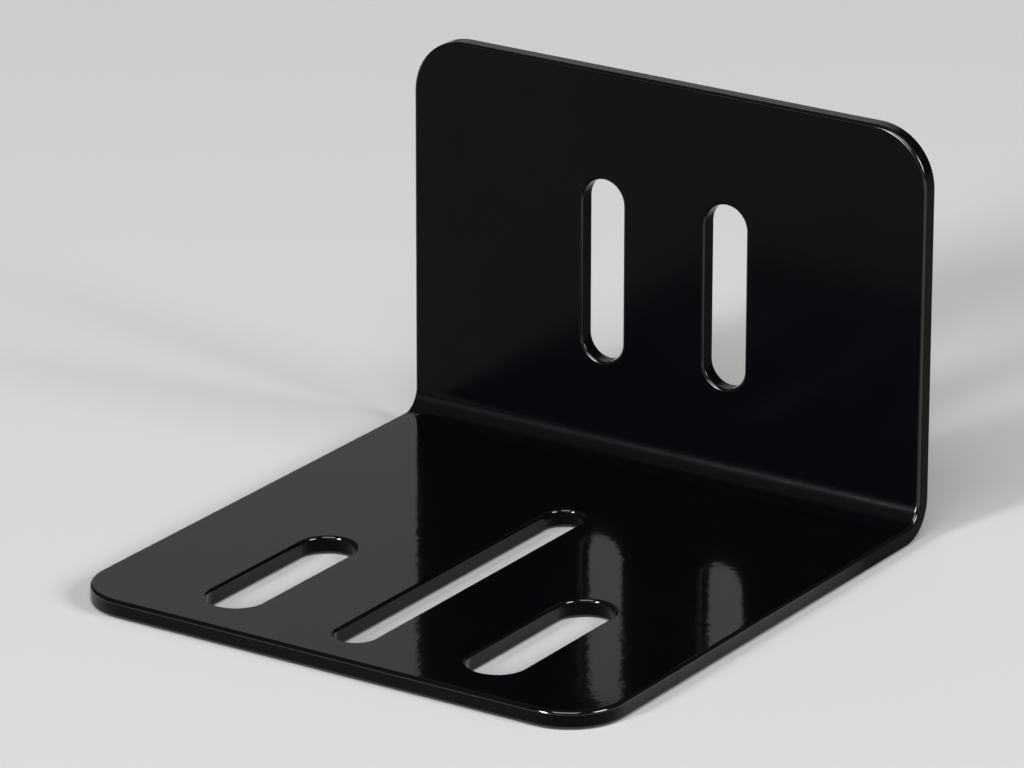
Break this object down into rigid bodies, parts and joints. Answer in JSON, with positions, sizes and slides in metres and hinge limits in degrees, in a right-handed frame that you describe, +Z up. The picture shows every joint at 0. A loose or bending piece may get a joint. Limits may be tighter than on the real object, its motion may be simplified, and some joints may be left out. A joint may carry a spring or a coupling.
{
  "type": "camera mount",
  "caption": "L-shaped bent steel sheet in gloss black, with slots in the base for a camera screw and in the upright for fastening.",
  "frame": {"origin": "on the underside of the base, at the middle of the footprint", "axes": "+X to the right, +Y from the free front edge of the base towards the upright, +Z up"},
  "size_m": [0.1, 0.1036, 0.0702],
  "materials": {
    "black_coat": "gloss"
  },
  "bodies": {
    "root": {"bracket": "black_coat"}
  },
  "joints": []
}
